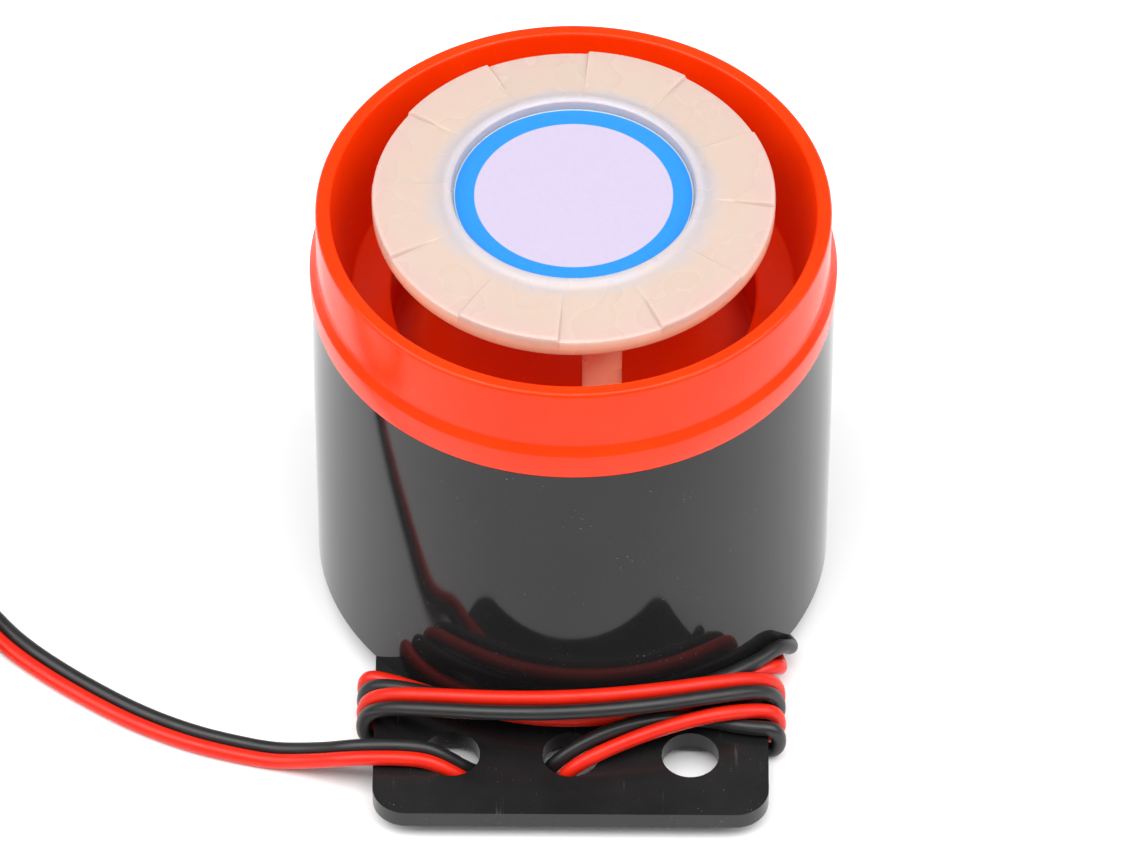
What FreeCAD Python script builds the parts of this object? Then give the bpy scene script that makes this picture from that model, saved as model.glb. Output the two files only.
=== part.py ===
"""Small piezo alarm siren: a black cup closed by a rear plate with a three-hole mounting tab,
an orange horn ring with a white diffuser in its mouth, the piezo sounder and its circuit inside,
and a red and black twin lead that is wound round the tab and runs off to a tied coil.

Frame, in millimetres: Z is the siren's axis and points out of its mouth, the rear plate lies on
Z = 0, and the mounting tab reaches towards -Y.
"""

import FreeCAD
import Part
import Sketcher
import math
import os
import re

doc = FreeCAD.newDocument("alarm_siren")

# ---------------------------------------------------------------- driving sizes

SIZES = {
    # rear plate and its tab
    "plate_thick": 1.6,
    "disc_radius": 20.2,
    "spigot_radius": 19.6,
    "spigot_rise": 1.8,
    "tab_reach": 30.9,
    "tab_half": 16.28,
    "tab_corner": 2.8,
    "hole_radius": 2.36,
    "hole_pitch": 9.835,
    "hole_reach": 24.5,
    "pillar_circle": 14.5,
    "pillar_radius": 2.2,
    # cup
    "cup_radius": 21.4,
    "cup_wall": 1.6,
    "cup_top": 32.16,
    "boss_circle": 16.9,
    "boss_radius": 2.3,
    "boss_height": 8.0,
    # horn ring
    "flange_radius": 21.5,
    "flange_top": 34.66,
    "shoulder": 0.75,
    "rim_radius": 20.92,
    "rim_top": 41.26,
    "mouth_radius": 19.72,
    "ledge_radius": 18.1,
    "ledge_level": 31.56,
    "horn_skin": 1.6,
    "sleeve_radius": 19.75,
    "sleeve_inner": 18.0,
    "sleeve_bottom": 27.0,
    "well_radius": 14.9,
    "well_outer": 17.4,
    "well_floor": 26.0,
    "throat_radius": 2.15,
    "chamber_radius": 11.6,
    "chamber_depth": 0.8,
    "seat_level": 22.6,
    # diffuser
    "dish_radius": 16.32,
    "dish_top": 42.54,
    "dish_side": 1.65,
    "step_rise": 0.22,
    "lip_outer": 10.55,
    "lip_radius": 10.05,
    "lip_top": 43.4,
    "recess_radius": 9.75,
    "recess_level": 42.45,
    "cone_radius": 8.6,
    "cone_tip": 33.2,
    "post_circle": 12.4,
    "post_radius": 1.62,
    "pin_radius": 1.0,
    "pin_length": 1.6,
    "label_radius": 9.68,
    "label_thick": 0.1,
    # sounder
    "gasket_thick": 0.5,
    "gasket_inner": 12.0,
    "piezo_radius": 13.4,
    "piezo_thick": 0.2,
    "ceramic_radius": 10.0,
    "ceramic_thick": 0.25,
    "clamp_inner": 11.8,
    "clamp_outer": 17.2,
    "clamp_thick": 1.6,
    "clamp_skirt": 13.7,
    "clamp_gap": 0.1,
    "clamp_circle": 16.1,
    # circuit board and its parts
    "board_radius": 17.0,
    "board_level": 12.0,
    "board_thick": 1.2,
    # screws
    "screw_radius": 1.0,
    "screw_head": 1.9,
    "head_thick": 1.1,
    "clamp_screw": 0.65,
    "clamp_head": 1.05,
    # lead: one strand's diameter, and the hole that it leaves the plate by
    "strand": 1.3,
    "grommet_radius": 2.2,
    "grommet_bore": 1.4,
    "exit_across": 8.0,
    "exit_back": 9.0,
    "channel_width": 3.0,
    "channel_depth": 1.45,
}

POST_ANGLES = (49, 153, 281)  # uneven, so that the disc fits only one way round
PILLAR_ANGLES = (90, 210, 330)
BOSS_ANGLES = (30, 150, 270)
CLAMP_ANGLES = (101, 221, 341)
SECTOR_START = -4  # degrees; raised and plain sectors alternate every 30 degrees from here

sheet = doc.addObject("Spreadsheet::Sheet", "Sizes")
for row, (word, value) in enumerate(SIZES.items(), start=1):
    sheet.set(f"A{row}", word)
    sheet.set(f"B{row}", str(value))
    sheet.setAlias(f"B{row}", word)
doc.recompute()

size = SIZES.__getitem__
nodes = {}


# ---------------------------------------------------------------- helpers


def bound(text):
    """A formula of the sheet's words, as an expression: bound("rim_top - 2") is "Sizes.rim_top - 2"."""
    return re.sub(r"[a-z]\w*", r"Sizes.\g<0>", text)


def keep(label, thing):
    """Makes an object the finished sub-part of that name."""
    thing.Label = label
    nodes[label] = thing
    return thing


def place(thing, x="0", y="0", z="0"):
    for axis, text in zip("xyz", (x, y, z)):
        thing.setExpression(f"Placement.Base.{axis}", bound(text))
    return thing


def place_round(thing, circle, angle, z):
    """Puts an object on a circle about the axis, at that angle."""
    thing.setExpression("Placement.Base.x", f"({bound(circle)}) * cos({angle} deg)")
    thing.setExpression("Placement.Base.y", f"({bound(circle)}) * sin({angle} deg)")
    thing.setExpression("Placement.Base.z", bound(z))
    return thing


def cylinder(radius, height):
    thing = doc.addObject("Part::Cylinder", "cylinder")
    thing.setExpression("Radius", bound(radius))
    thing.setExpression("Height", bound(height))
    return thing


def block(x, y, z):
    """A box from a low and a high formula along each axis."""
    thing = doc.addObject("Part::Box", "block")
    for name, (low, high) in zip(("Length", "Width", "Height"), (x, y, z)):
        thing.setExpression(name, bound(f"({high}) - ({low})"))
    return place(thing, x[0], y[0], z[0])


def fuse(*things):
    joined = doc.addObject("Part::MultiFuse", "fuse")
    joined.Shapes = list(things)
    return joined


def cut(base, *tools):
    result = doc.addObject("Part::Cut", "cut")
    result.Base = base
    result.Tool = tools[0] if len(tools) == 1 else fuse(*tools)
    return result


def group(*things):
    """Separate solids that share one node."""
    bunch = doc.addObject("Part::Compound", "group")
    bunch.Links = list(things)
    return bunch


def ring(inner, outer, low, high):
    height = f"({high}) - ({low})"
    wall = place(cylinder(outer, height), z=low)
    hollow = place(cylinder(inner, height), z=low)
    return cut(wall, hollow)


def origin_plane(body, role):
    return next(f for f in body.Origin.OriginFeatures if f.Role == role)


def outline(body, name, role, corners):
    """A closed sketch of straight sides whose corners are pairs of formulas."""
    sketch = body.newObject("Sketcher::SketchObject", name)
    sketch.AttachmentSupport = [(origin_plane(body, role), "")]
    sketch.MapMode = "FlatFace"
    count = len(corners)
    turn = 2 * math.pi / count
    guess = [FreeCAD.Vector(30 + 9 * math.cos(turn * i), 9 * math.sin(turn * i), 0) for i in range(count)]
    for i in range(count):
        sketch.addGeometry(Part.LineSegment(guess[i], guess[(i + 1) % count]))
    for i in range(count):
        sketch.addConstraint(Sketcher.Constraint("Coincident", i, 2, (i + 1) % count, 1))
    for i, pair in enumerate(corners):
        for kind, axis, text in zip(("DistanceX", "DistanceY"), (-2, -1), pair):
            if text == "0":
                sketch.addConstraint(Sketcher.Constraint("PointOnObject", i, 1, axis))
            else:
                number = sketch.addConstraint(Sketcher.Constraint(kind, -1, 1, i, 1, 1.0))
                sketch.setExpression(f"Constraints[{number}]", bound(text))
    return sketch


def turned(name, corners, angle=360):
    """A body turned about Z from an outline of (radius, height) corners."""
    body = doc.addObject("PartDesign::Body", name)
    spin = body.newObject("PartDesign::Revolution", name + "_turned")
    spin.Profile = outline(body, name + "_outline", "XZ_Plane", corners)
    spin.ReferenceAxis = (spin.Profile[0], ["V_Axis"])
    spin.Angle = angle
    return body


def polar(body, feature, count):
    pattern = body.newObject("PartDesign::PolarPattern", feature.Name + "_pattern")
    pattern.Originals = [feature]
    pattern.Axis = (next(f for f in body.Origin.OriginFeatures if f.Role == "Z_Axis"), [""])
    pattern.Angle = 360
    pattern.Occurrences = count
    body.Tip = pattern
    return pattern


def spots(body, name, circle, radius, angles):
    """A sketch of equal circles on the XY plane, centred on a circle about the axis."""
    sketch = body.newObject("Sketcher::SketchObject", name)
    sketch.AttachmentSupport = [(origin_plane(body, "XY_Plane"), "")]
    sketch.MapMode = "FlatFace"
    for i, angle in enumerate(angles):
        across = math.cos(math.radians(angle))
        away = math.sin(math.radians(angle))
        middle = FreeCAD.Vector(size(circle) * across, size(circle) * away, 0)
        sketch.addGeometry(Part.Circle(middle, FreeCAD.Vector(0, 0, 1), size(radius)))
        number = sketch.addConstraint(Sketcher.Constraint("Radius", i, size(radius)))
        sketch.setExpression(f"Constraints[{number}]", bound(radius))
        for kind, share in (("DistanceX", across), ("DistanceY", away)):
            number = sketch.addConstraint(Sketcher.Constraint(kind, -1, 1, i, 3, size(circle) * share))
            sketch.setExpression(f"Constraints[{number}]", f"{bound(circle)} * {share:.9f}")
    return sketch


# ---------------------------------------------------------------- casing


def housing_cup():
    """Open black tube that the horn ring plugs, with three screw bosses on its inner wall."""
    shell = turned(
        "cup_shell",
        [
            ("cup_radius - cup_wall", "plate_thick"),
            ("cup_radius", "plate_thick"),
            ("cup_radius", "cup_top"),
            ("cup_radius - cup_wall", "cup_top"),
        ],
    )
    low = "plate_thick + spigot_rise"
    bosses = [place_round(cylinder("boss_radius", "boss_height"), "boss_circle", a, low) for a in BOSS_ANGLES]
    ribs = []
    for angle in BOSS_ANGLES:
        rib = doc.addObject("Part::Box", "rib")
        rib.setExpression("Length", bound("cup_radius - cup_wall / 2 - boss_circle"))
        rib.setExpression("Width", bound("boss_radius"))
        rib.setExpression("Height", bound("boss_height"))
        rib.Placement.Rotation = FreeCAD.Rotation(FreeCAD.Vector(0, 0, 1), angle)
        half = f"({bound('boss_radius')}) / 2"
        rib.setExpression("Placement.Base.x", f"Sizes.boss_circle * cos({angle} deg) + {half} * sin({angle} deg)")
        rib.setExpression("Placement.Base.y", f"Sizes.boss_circle * sin({angle} deg) - {half} * cos({angle} deg)")
        rib.setExpression("Placement.Base.z", bound(low))
        ribs.append(rib)
    holes = [
        place_round(cylinder("screw_radius", "boss_height - 1.5"), "boss_circle", a, low) for a in BOSS_ANGLES
    ]
    keep("housing_cup", cut(fuse(shell, *bosses, *ribs), *holes))


def rear_plate():
    """Flat plate that closes the cup, with a locating disc, three board pillars and the mounting tab."""
    body = doc.addObject("PartDesign::Body", "plate_body")
    tab = body.newObject("PartDesign::Pad", "tab_pad")
    tab.Profile = outline(
        body,
        "tab_outline",
        "XY_Plane",
        [("-tab_half", "-tab_reach"), ("tab_half", "-tab_reach"), ("tab_half", "-6"), ("-tab_half", "-6")],
    )
    tab.setExpression("Length", bound("plate_thick"))
    doc.recompute()
    corners = [
        f"Edge{i}"
        for i, edge in enumerate(tab.Shape.Edges, start=1)
        if edge.Length < size("plate_thick") + 0.01 and edge.CenterOfMass.y < -size("tab_reach") + 0.01
    ]
    rounded = body.newObject("PartDesign::Fillet", "tab_corners")
    rounded.Base = (tab, corners)
    rounded.setExpression("Radius", bound("tab_corner"))
    body.Tip = rounded
    disc = cylinder("disc_radius", "plate_thick")
    spigot = cylinder("spigot_radius", "plate_thick + spigot_rise")
    low = "plate_thick + spigot_rise"
    pillars = [
        place_round(cylinder("pillar_radius", f"board_level - ({low})"), "pillar_circle", a, low)
        for a in PILLAR_ANGLES
    ]
    bores = [
        place_round(cylinder("screw_radius", "5"), "pillar_circle", a, "board_level - 5") for a in PILLAR_ANGLES
    ]
    for angle in BOSS_ANGLES:
        bores.append(place_round(cylinder("screw_radius", low), "boss_circle", angle, "0"))
        bores.append(place_round(cylinder("screw_head", "head_thick"), "boss_circle", angle, "0"))
    for shift in ("-hole_pitch", "0", "hole_pitch"):
        bores.append(place(cylinder("hole_radius", "plate_thick"), shift, "-hole_reach", "0"))
    bores.append(place(cylinder("grommet_radius", low), "exit_across", "-exit_back", "0"))
    keep("rear_plate", cut(fuse(body, disc, spigot, *pillars), *bores, lead_channel()))


def lead_channel():
    """Groove in the plate's back, from the lead's exit hole to the disc's edge beside the tab."""
    channel = doc.addObject("Part::Box", "channel")
    channel.setExpression("Length", "14")
    channel.setExpression("Width", bound("channel_width"))
    channel.setExpression("Height", bound("channel_depth"))
    channel.Placement.Rotation = FreeCAD.Rotation(FreeCAD.Vector(0, 0, 1), CHANNEL_ANGLE)
    half = bound("channel_width / 2")
    channel.setExpression("Placement.Base.x", f"Sizes.exit_across + {half} * sin({CHANNEL_ANGLE} deg)")
    channel.setExpression("Placement.Base.y", f"-Sizes.exit_back - {half} * cos({CHANNEL_ANGLE} deg)")
    return channel


def pan_screws(radius, length, head, thick, circle, angles, seat, points_up):
    """Pan-head screws on a circle; seat is the level that their heads rest on."""
    screws = []
    for angle in angles:
        shank = cylinder(radius, length)
        cap = cylinder(head, thick)
        place_round(shank, circle, angle, seat if points_up else f"({seat}) - ({length})")
        place_round(cap, circle, angle, f"({seat}) - ({thick})" if points_up else seat)
        screws.append(fuse(shank, cap))
    return group(*screws)


def plate_screws():
    keep(
        "plate_screws",
        pan_screws(
            "screw_radius - 0.02", "8", "screw_head - 0.05", "head_thick - 0.1",
            "boss_circle", BOSS_ANGLES, "head_thick", points_up=True,
        ),
    )


# ---------------------------------------------------------------- horn and diffuser


def horn_ring():
    """Orange ring with a tapered mouth, a ledge, and a flat-floored well round the sounder's throat."""
    body = turned(
        "horn_body",
        [
            ("rim_radius", "rim_top"),
            ("mouth_radius", "rim_top"),
            ("ledge_radius", "ledge_level"),
            ("well_radius", "ledge_level"),
            ("well_radius", "well_floor"),
            ("throat_radius", "well_floor"),
            ("throat_radius", "seat_level + chamber_depth"),
            ("chamber_radius", "seat_level + chamber_depth"),
            ("chamber_radius", "seat_level"),
            ("well_outer", "seat_level"),
            ("well_outer", "ledge_level - horn_skin"),
            ("sleeve_inner", "ledge_level - horn_skin"),
            ("sleeve_inner", "sleeve_bottom"),
            ("sleeve_radius", "sleeve_bottom"),
            ("sleeve_radius", "cup_top"),
            ("cup_radius + 0.04", "cup_top"),
            ("flange_radius", "flange_top"),
            ("rim_radius", "flange_top + shoulder"),
        ],
    )
    sockets = [
        place_round(cylinder("pin_radius + 0.02", "pin_length + 0.1"), "post_circle", a,
                    "well_floor - pin_length - 0.1")
        for a in POST_ANGLES
    ]
    threads = [
        place_round(cylinder("clamp_screw", "5.2"), "clamp_circle", a, "seat_level") for a in CLAMP_ANGLES
    ]
    keep("horn_ring", cut(body, *sockets, *threads))


def diffuser():
    """White disc with a raised lip, a recess for the label, six raised sectors, a cone below and three posts."""
    body = turned(
        "dish_body",
        [
            ("0", "recess_level"),
            ("recess_radius", "recess_level"),
            ("lip_radius", "lip_top"),
            ("lip_outer", "lip_top - 0.05"),
            ("dish_radius", "dish_top"),
            ("dish_radius", "dish_top - dish_side"),
            ("cone_radius", "dish_top - dish_side"),
            ("0", "cone_tip"),
        ],
    )
    step = body.newObject("PartDesign::Revolution", "sector_step")
    step.Profile = outline(
        body,
        "step_outline",
        "XZ_Plane",
        [
            ("lip_outer", "lip_top - 0.05"),
            ("dish_radius", "dish_top + step_rise"),
            ("dish_radius", "dish_top - 0.5"),
            ("lip_outer", "lip_top - 0.5"),
        ],
    )
    step.ReferenceAxis = (step.Profile[0], ["V_Axis"])
    step.Angle = 30
    step.Reversed = True
    polar(body, step, 6)
    posts = body.newObject("PartDesign::Pad", "posts")
    turned_back = [angle - SECTOR_START for angle in POST_ANGLES]
    posts.Profile = spots(body, "post_spots", "post_circle", "post_radius", turned_back)
    posts.Profile[0].AttachmentOffset.Base.z = 0
    posts.Profile[0].setExpression("AttachmentOffset.Base.z", bound("well_floor"))
    posts.setExpression("Length", bound("dish_top - dish_side - well_floor + 0.4"))
    pins = body.newObject("PartDesign::Pad", "pins")
    pins.Profile = spots(body, "pin_spots", "post_circle", "pin_radius", turned_back)
    pins.Profile[0].setExpression("AttachmentOffset.Base.z", bound("well_floor - pin_length"))
    pins.setExpression("Length", bound("pin_length + 0.4"))
    body.Tip = pins
    body.Placement.Rotation = FreeCAD.Rotation(FreeCAD.Vector(0, 0, 1), SECTOR_START)
    keep("diffuser", body)


def label():
    """Round sticker in the diffuser's recess."""
    keep("label", place(cylinder("label_radius", "label_thick"), z="recess_level"))


# ---------------------------------------------------------------- sounder


def sounder():
    """Brass plate with its ceramic disc, held between two soft rings by a screwed clamp ring."""
    plate_top = "seat_level - gasket_thick"
    plate_low = "seat_level - gasket_thick - piezo_thick"
    rear_low = "seat_level - 2 * gasket_thick - piezo_thick"
    keep("front_gasket", ring("gasket_inner", "piezo_radius", plate_top, "seat_level"))
    keep("piezo_plate", place(cylinder("piezo_radius", "piezo_thick"), z=plate_low))
    disc = cylinder("ceramic_radius", "ceramic_thick")
    keep("piezo_ceramic", place(disc, z=f"{plate_low} - ceramic_thick"))
    keep("rear_gasket", ring("gasket_inner", "piezo_radius", rear_low, plate_low))
    flat = ring("clamp_inner", "clamp_outer", f"{rear_low} - clamp_thick", rear_low)
    skirt = ring("clamp_skirt", "clamp_outer", rear_low, "seat_level - clamp_gap")
    low = f"{rear_low} - clamp_thick"
    bores = [place_round(cylinder("clamp_screw + 0.05", "4"), "clamp_circle", a, low) for a in CLAMP_ANGLES]
    keep("clamp_ring", cut(fuse(flat, skirt), *bores))
    keep(
        "clamp_screws",
        pan_screws("clamp_screw - 0.02", "6.5", "clamp_head", "0.8", "clamp_circle", CLAMP_ANGLES, low,
                   points_up=True),
    )


# ---------------------------------------------------------------- circuit


# Where the driver's parts stand on the board: x and y
COIL_SPOT = ("-6.5", "3.5")
TRANSISTOR_SPOT = ("5.5", "5.8")
ELECTROLYTIC_SPOT = ("-3.0", "-8.5")
DISC_SPOT = ("-11.6", "-2.4")
DIODE_SPOT = ("2.5", "-11.2")
RESISTOR_ROWS = (9.2, 11.6)
CHIP_PINS = 4
PIN_PITCH = 1.27


def circuit():
    """Round board on the plate's pillars, and the siren driver's parts standing on it."""
    top = "board_level + board_thick"
    board = place(cylinder("board_radius", "board_thick"), z="board_level")
    bores = [
        place_round(cylinder("screw_radius + 0.1", "board_thick"), "pillar_circle", a, "board_level")
        for a in PILLAR_ANGLES
    ]
    keep("circuit_board", cut(board, *bores))
    keep(
        "board_screws",
        pan_screws("screw_radius - 0.02", "5.5", "screw_head", "1.2", "pillar_circle", PILLAR_ANGLES, top,
                   points_up=False),
    )
    core_low = place(cylinder("4.4", "0.9"), *COIL_SPOT, top)
    core_stem = place(cylinder("2.0", "5.6"), *COIL_SPOT, top)
    core_high = place(cylinder("4.4", "0.9"), *COIL_SPOT, f"{top} + 4.7")
    keep("boost_coil_core", fuse(core_low, core_stem, core_high))
    wound = ring("2.0", "4.0", f"{top} + 0.9", f"{top} + 4.7")
    keep("boost_coil_winding", place(group(wound), *COIL_SPOT, "0"))
    keep("sound_chip", block(("3.6", "8.5"), ("-5.2", "-1.3"), (f"{top} + 0.2", f"{top} + 1.7")))
    pins = []
    for k in range(CHIP_PINS):
        near = 3.86 + PIN_PITCH * k
        for low, high in ((-6.4, -5.2), (-1.3, -0.1)):
            pins.append(block((f"{near}", f"{near + 0.4}"), (f"{low}", f"{high}"), (top, f"{top} + 0.4")))
    keep("sound_chip_pins", group(*pins))
    can = place(cylinder("2.3", "4.6"), *TRANSISTOR_SPOT, f"{top} + 0.5")
    flat = block(("3", "8"), ("7.1", "9"), (top, f"{top} + 6"))
    legs = [block((f"{x}", f"{x + 0.4}"), ("5.2", "5.6"), (top, f"{top} + 0.5")) for x in (4.0, 5.3, 6.6)]
    keep("drive_transistor", fuse(cut(can, flat), *legs))
    keep("electrolytic_capacitor", place(cylinder("2.5", "5.6"), *ELECTROLYTIC_SPOT, top))
    disc = place(cylinder("2.1", "1.3"), "0", "0", "0")
    disc.Placement.Rotation = FreeCAD.Rotation(FreeCAD.Vector(1, 0, 0), 90)
    place(disc, *DISC_SPOT, f"{top} + 2.3")
    keep("ceramic_capacitor", disc)
    resistors = []
    for y in RESISTOR_ROWS:
        resistor = cylinder("0.9", "3.4")
        resistor.Placement.Rotation = FreeCAD.Rotation(FreeCAD.Vector(0, 1, 0), 90)
        resistors.append(place(resistor, "-5.2", f"{y}", f"{top} + 0.9"))
    keep("resistors", group(*resistors))
    diode = cylinder("1.2", "4.2")
    diode.Placement.Rotation = FreeCAD.Rotation(FreeCAD.Vector(0, 1, 0), 90)
    keep("polarity_diode", place(diode, *DIODE_SPOT, f"{top} + 1.2"))
    ceramic_low = "seat_level - gasket_thick - piezo_thick - ceramic_thick"
    plate_low = "seat_level - gasket_thick - piezo_thick"
    hot = place(cylinder("0.3", f"{ceramic_low} - ({top})"), "1.5", "1.5", top)
    ground = place(cylinder("0.3", f"{plate_low} - ({top})"), "11.0", "1.5", top)
    keep("piezo_leads", group(hot, ground))


def lead_entry():
    """Rubber bush in the plate's exit hole, and the two strands that rise from it to the board."""
    bush = ring("grommet_bore", "grommet_radius", "channel_depth", "plate_thick + spigot_rise + 1.0")
    keep("lead_grommet", place(group(bush), "exit_across", "-exit_back", "0"))
    for name, side in (("supply_wire_red", "+"), ("supply_wire_black", "-")):
        wire = cylinder("strand / 2", "board_level - channel_depth")
        keep(name, place(wire, f"exit_across {side} strand / 2", "-exit_back", "channel_depth"))


# ---------------------------------------------------------------- lead outside the siren

CHANNEL_ANGLE = -12  # degrees, the way from the exit hole to the edge of the disc
WINDING_DROP = 1.35  # how far the turns under the tab stand below the plate
WINDING_BACK = -14.2
WINDING_FRONT = -22.12
WINDING_SIDE = 18.3
WINDING_TOP = 6.8

# The siren rests on the far edge of its plate and on the turns under its tab.
REST_SLOPE = WINDING_DROP / (SIZES["disc_radius"] - WINDING_FRONT)


def floor_level(y):
    """Height of the surface that the siren and its lead lie on."""
    return -REST_SLOPE * (SIZES["disc_radius"] - y)


TWIN_RADIUS = SIZES["strand"]  # the twin lead is two strands wide

# Free run of the lead, from above the tab's left hole to the coil: x, y and the middle's height,
# which is None where the lead lies on the surface
RUN_START_LEVEL = SIZES["plate_thick"] + TWIN_RADIUS + 0.3
RUN_ROUTE = [
    (-9.84, -24.9, RUN_START_LEVEL),
    (-17.4, -25.3, RUN_START_LEVEL),
    (-23.6, -23.4, None),
    (-30.2, -21.6, None),
    (-37.2, -18.3, None),
    (-43.4, -14.8, None),
    (-47.9, -10.6, None),
]

COIL_MIDDLE = (-67.5, -12.0)
COIL_RADIUS = 14.5
COIL_WIDE = 6.0
COIL_HIGH = 4.3
TIE_THICK = 0.5
JOIN_ANGLE = 20  # degrees round the coil where the run meets it

# The two bare ends inside the coil: where they part, seen from its middle, and the way they point
TAIL_START = (-8.4, 4.6)
TAIL_ANGLE = -58
TAIL_APART = 1.8
TAIL_SPLAY = 6
TAIL_LONG = 10.0
TIP_LONG = 4.0
TIP_RADIUS = 0.4


def run_points():
    points = [
        FreeCAD.Vector(x, y, floor_level(y) + TWIN_RADIUS if z is None else z) for x, y, z in RUN_ROUTE
    ]
    angle = math.radians(JOIN_ANGLE)
    beside = COIL_RADIUS + COIL_WIDE / 2 + TWIN_RADIUS
    x = COIL_MIDDLE[0] + beside * math.cos(angle)
    y = COIL_MIDDLE[1] + beside * math.sin(angle)
    points.append(FreeCAD.Vector(x, y, floor_level(y) + TWIN_RADIUS))
    return points


def tube(points, radius):
    """A round tube along straight runs joined by tangent arcs; returns its solid."""
    ends = [points[0]]
    edges = []
    for before, corner, after in zip(points, points[1:], points[2:]):
        back, on = before - corner, after - corner
        turn = math.pi - back.getAngle(on)
        reach = 0.45 * min(back.Length, on.Length)
        bend = reach / math.tan(turn / 2)
        print(f"bend radius {bend:.1f} mm, {bend / (2 * radius):.1f} diameters")
        first = corner + back.normalize() * reach
        last = corner + on.normalize() * reach
        inward = (back + on).normalize()
        middle = corner + inward * (bend / math.cos(turn / 2) - bend)
        edges.append(Part.LineSegment(ends[-1], first).toShape())
        edges.append(Part.Arc(first, middle, last).toShape())
        ends.append(last)
    edges.append(Part.LineSegment(ends[-1], points[-1]).toShape())
    path = Part.Wire(edges)
    start = Part.Wire(Part.Circle(points[0], points[1] - points[0], radius).toShape())
    solid = path.makePipeShell([start], True, False)
    expected = math.pi * radius**2 * path.Length
    if abs(solid.Volume / expected - 1) > 0.02:
        raise RuntimeError(f"tube volume {solid.Volume:.1f}, expected {expected:.1f}")
    print(f"tube length {path.Length:.1f} mm")
    return solid


def solid_node(label, shape, placement=None):
    thing = doc.addObject("Part::Feature", label)
    thing.Shape = shape
    if placement is not None:
        thing.Placement = placement
    return keep(label, thing)


def lead_winding():
    """The turns round the tab, as one closed band that hugs the plate and the foot of the cup."""
    wide, thick = size("tab_half"), size("plate_thick")
    band = Part.makeBox(
        2 * WINDING_SIDE,
        WINDING_BACK - WINDING_FRONT,
        WINDING_TOP + WINDING_DROP,
        FreeCAD.Vector(-WINDING_SIDE, WINDING_FRONT, -WINDING_DROP),
    )
    plate = Part.makeBox(2 * wide, 30, thick, FreeCAD.Vector(-wide, -40, 0))
    plate = plate.fuse(Part.makeBox(2 * wide, 30, thick, FreeCAD.Vector(-wide, -25, 0)))
    disc = Part.makeCylinder(size("disc_radius"), thick)
    cup = Part.makeCylinder(size("cup_radius"), size("cup_top"), FreeCAD.Vector(0, 0, thick))
    band = band.cut(plate).cut(disc).cut(cup)
    solid_node("cord_winding", band.removeSplitter())


def lead_hole_loop():
    """The flat stretch that passes down the middle hole, under the tab and up the left hole."""
    radius = TWIN_RADIUS
    pitch, reach = size("hole_pitch"), size("hole_reach") + 0.4
    top = RUN_START_LEVEL + radius
    under = Part.makeBox(
        pitch, 2 * radius, SIZES["strand"], FreeCAD.Vector(-pitch, -reach - radius, -SIZES["strand"])
    )
    for x in (-pitch, 0):
        under = under.fuse(
            Part.makeCylinder(radius, top + SIZES["strand"], FreeCAD.Vector(x, -reach, -SIZES["strand"]))
        )
    solid_node("cord_hole_loop", under.removeSplitter())


def lead_run():
    """The free lead between the tab and the coil."""
    points = run_points()
    points[0] = points[0] + FreeCAD.Vector(-TWIN_RADIUS, 0, 0)
    solid_node("cord_run", tube(points, TWIN_RADIUS))


def on_floor(x, y, rise):
    """Placement on the resting surface at (x, y), tilted with it and raised by rise."""
    tilt = math.degrees(math.atan(REST_SLOPE))
    return FreeCAD.Placement(
        FreeCAD.Vector(x, y, floor_level(y) + rise), FreeCAD.Rotation(FreeCAD.Vector(1, 0, 0), tilt)
    )


def lead_coil():
    """The rest of the lead as a tied coil, and the two bare ends that lie inside it."""
    inner, outer = COIL_RADIUS - COIL_WIDE / 2, COIL_RADIUS + COIL_WIDE / 2
    ring_shape = Part.makeCylinder(outer, COIL_HIGH).cut(Part.makeCylinder(inner, COIL_HIGH))
    ring_shape = ring_shape.makeFillet(1.2, ring_shape.Edges)
    rests = on_floor(*COIL_MIDDLE, TIE_THICK)
    solid_node("cord_coil", ring_shape, rests)
    section = Part.makeBox(
        COIL_WIDE + 2 * TIE_THICK, 3.0, COIL_HIGH + 2 * TIE_THICK,
        FreeCAD.Vector(inner - TIE_THICK, -1.5, -TIE_THICK),
    )
    tie = section.cut(ring_shape)
    turn = FreeCAD.Placement(FreeCAD.Vector(), FreeCAD.Rotation(FreeCAD.Vector(0, 0, 1), 190))
    solid_node("cord_tie", tie, rests.multiply(turn))
    radius, along_x = SIZES["strand"] / 2, FreeCAD.Vector(1, 0, 0)
    middle = on_floor(*COIL_MIDDLE, radius)
    split = FreeCAD.Placement(
        FreeCAD.Vector(*TAIL_START, 0), FreeCAD.Rotation(FreeCAD.Vector(0, 0, 1), TAIL_ANGLE)
    )
    for name, side in (("cord_tail_red", -1), ("cord_tail_black", 1)):
        splay = FreeCAD.Placement(
            FreeCAD.Vector(0, side * TAIL_APART / 2, 0), FreeCAD.Rotation(FreeCAD.Vector(0, 0, 1), side * TAIL_SPLAY)
        )
        lies = middle.multiply(split).multiply(splay)
        solid_node(name, Part.makeCylinder(radius, TAIL_LONG, FreeCAD.Vector(), along_x), lies)
        tip = Part.makeCylinder(TIP_RADIUS, TIP_LONG, FreeCAD.Vector(TAIL_LONG, 0, 0), along_x)
        solid_node(name.replace("tail", "tip"), tip, lies)


# ---------------------------------------------------------------- build, check and write

housing_cup()
rear_plate()
plate_screws()
horn_ring()
diffuser()
label()
sounder()
circuit()
lead_entry()
lead_winding()
lead_hole_loop()
lead_run()
lead_coil()
doc.recompute()

for thing in doc.Objects:
    if {"Invalid", "Error"} & set(thing.State):
        raise RuntimeError(f"{thing.Label} failed: {thing.State}")

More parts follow.
